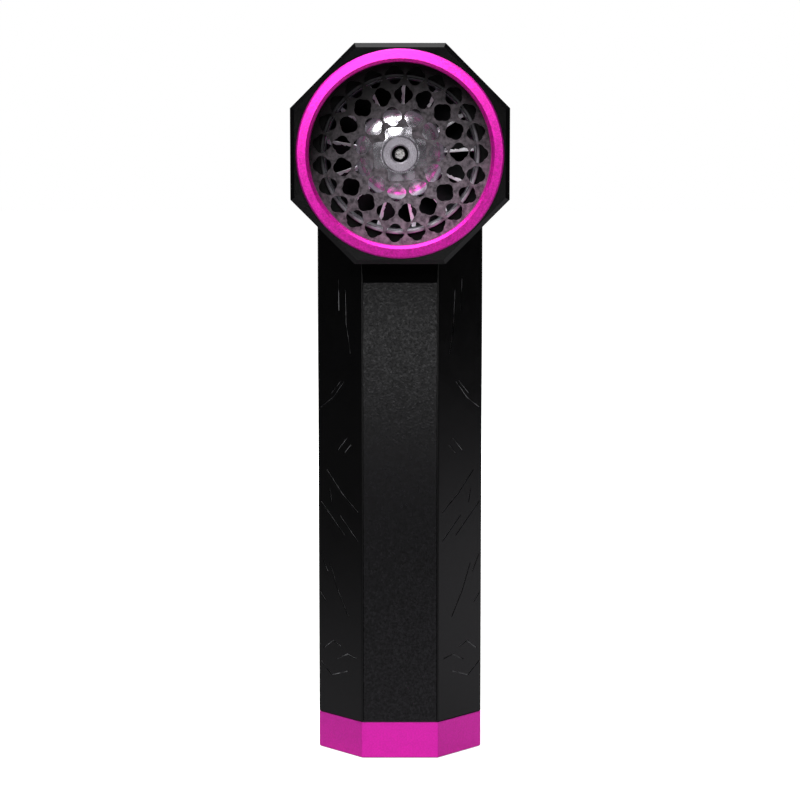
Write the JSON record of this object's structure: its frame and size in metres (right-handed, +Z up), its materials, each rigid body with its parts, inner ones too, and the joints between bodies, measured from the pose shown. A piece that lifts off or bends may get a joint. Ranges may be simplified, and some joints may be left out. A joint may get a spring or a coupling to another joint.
{
  "type": "handheld nail dust collector",
  "caption": "Handheld cordless dust collector: octagonal fan head with a round intake guard and pull-off filter cup on an octagonal battery grip.",
  "frame": {"origin": "centre of the end cap's underside", "axes": "+Z up along the grip, -Y towards the intake, +X to the right seen from the front"},
  "size_m": [0.06, 0.0758, 0.202],
  "materials": {
    "black_housing": "satin black anodised look",
    "magenta_anodised": "bead-blasted magenta anodising",
    "textured_panel": "coarse matt black grain",
    "guard_metal": "satin dark grey",
    "polished_metal": "polished",
    "collar_metal": "bead-blasted clear anodising",
    "steel": "ground",
    "duct_plastic": "satin moulded",
    "black_plastic": "moulded",
    "rubber": "matt",
    "magnet": "nickel plated",
    "copper": "enamelled copper wire",
    "laminated_steel": "stacked laminations",
    "filter_paper": "pleated paper",
    "filter_edge": "moulded white rim",
    "board_green": "solder mask",
    "cell_wrap": "heat-shrink sleeve",
    "holder_plastic": "moulded",
    "nickel": "nickel strip",
    "lead_red": "silicone insulation",
    "lead_black": "silicone insulation",
    "capacitor": "sleeve",
    "lens": "frosted light pipe",
    "led": "moulded",
    "screw_steel": "black oxide"
  },
  "bodies": {
    "body": {"head_shell": "black_housing", "trim_ring": "magenta_anodised", "intake_guard": "guard_metal", "guard_seal": "rubber", "fan_duct": "duct_plastic", "duct_inlet_ring": "collar_metal", "stator_vane_ring": "guard_metal", "motor_housing": "polished_metal", "motor_rear_cover": "polished_metal", "motor_stator_core": "laminated_steel", "motor_windings": "copper", "front_bearing": "steel", "rear_bearing": "steel", "motor_screws": "screw_steel", "motor_tail_cap": "black_plastic", "motor_leads": "lead_black", "head_magnets": "magnet", "grip_shell": "black_housing", "neck_block": "black_plastic", "neck_screws": "screw_steel", "front_grip_panel": "textured_panel", "rear_control_panel": "textured_panel", "button_switch": "black_plastic", "dial_potentiometer": "black_plastic", "indicator_leds": "led", "battery_light_lenses": "lens", "control_board": "board_green", "board_screws": "screw_steel", "driver_board": "board_green", "driver_capacitor": "capacitor", "battery_leads": "lead_red", "battery_cell_1": "cell_wrap", "battery_cell_2": "cell_wrap", "battery_cell_3": "cell_wrap", "cell_holder_bottom": "holder_plastic", "cell_holder_top": "holder_plastic", "bottom_cell_link": "nickel", "top_cell_link": "nickel", "usb_c_port": "steel", "end_cap": "magenta_anodised", "cap_gasket": "rubber", "end_cap_screws": "screw_steel"},
    "impeller": {"impeller": "polished_metal", "impeller_collar": "collar_metal", "motor_shaft": "steel", "rotor_magnet": "magnet"},
    "filter_cup": {"filter_cup_shell": "black_housing", "filter_frame": "filter_edge", "filter_media": "filter_paper", "exhaust_grille": "guard_metal", "cup_seal": "rubber", "cup_magnets": "magnet"},
    "power_button": {"power_button": "magenta_anodised"},
    "speed_dial": {"speed_dial": "magenta_anodised", "dial_shaft": "steel"}
  },
  "joints": [
    {"name": "impeller_spin", "type": "hinge", "parent": "body", "child": "impeller", "pos_m": [0, 0, 0.172], "axis": [0, 1, 0], "continuous": true},
    {"name": "filter_cup_pull", "type": "slide", "parent": "body", "child": "filter_cup", "axis": [0, 1, 0], "range_m": [0, 0.03]},
    {"name": "power_button_press", "type": "slide", "parent": "body", "child": "power_button", "axis": [0, -1, 0], "range_m": [0, 0.0006], "stiffness_N_per_m": 2000},
    {"name": "speed_dial_turn", "type": "hinge", "parent": "body", "child": "speed_dial", "pos_m": [0, 0.0253, 0.099], "axis": [0, 1, 0], "range_deg": [0, 270]}
  ]
}
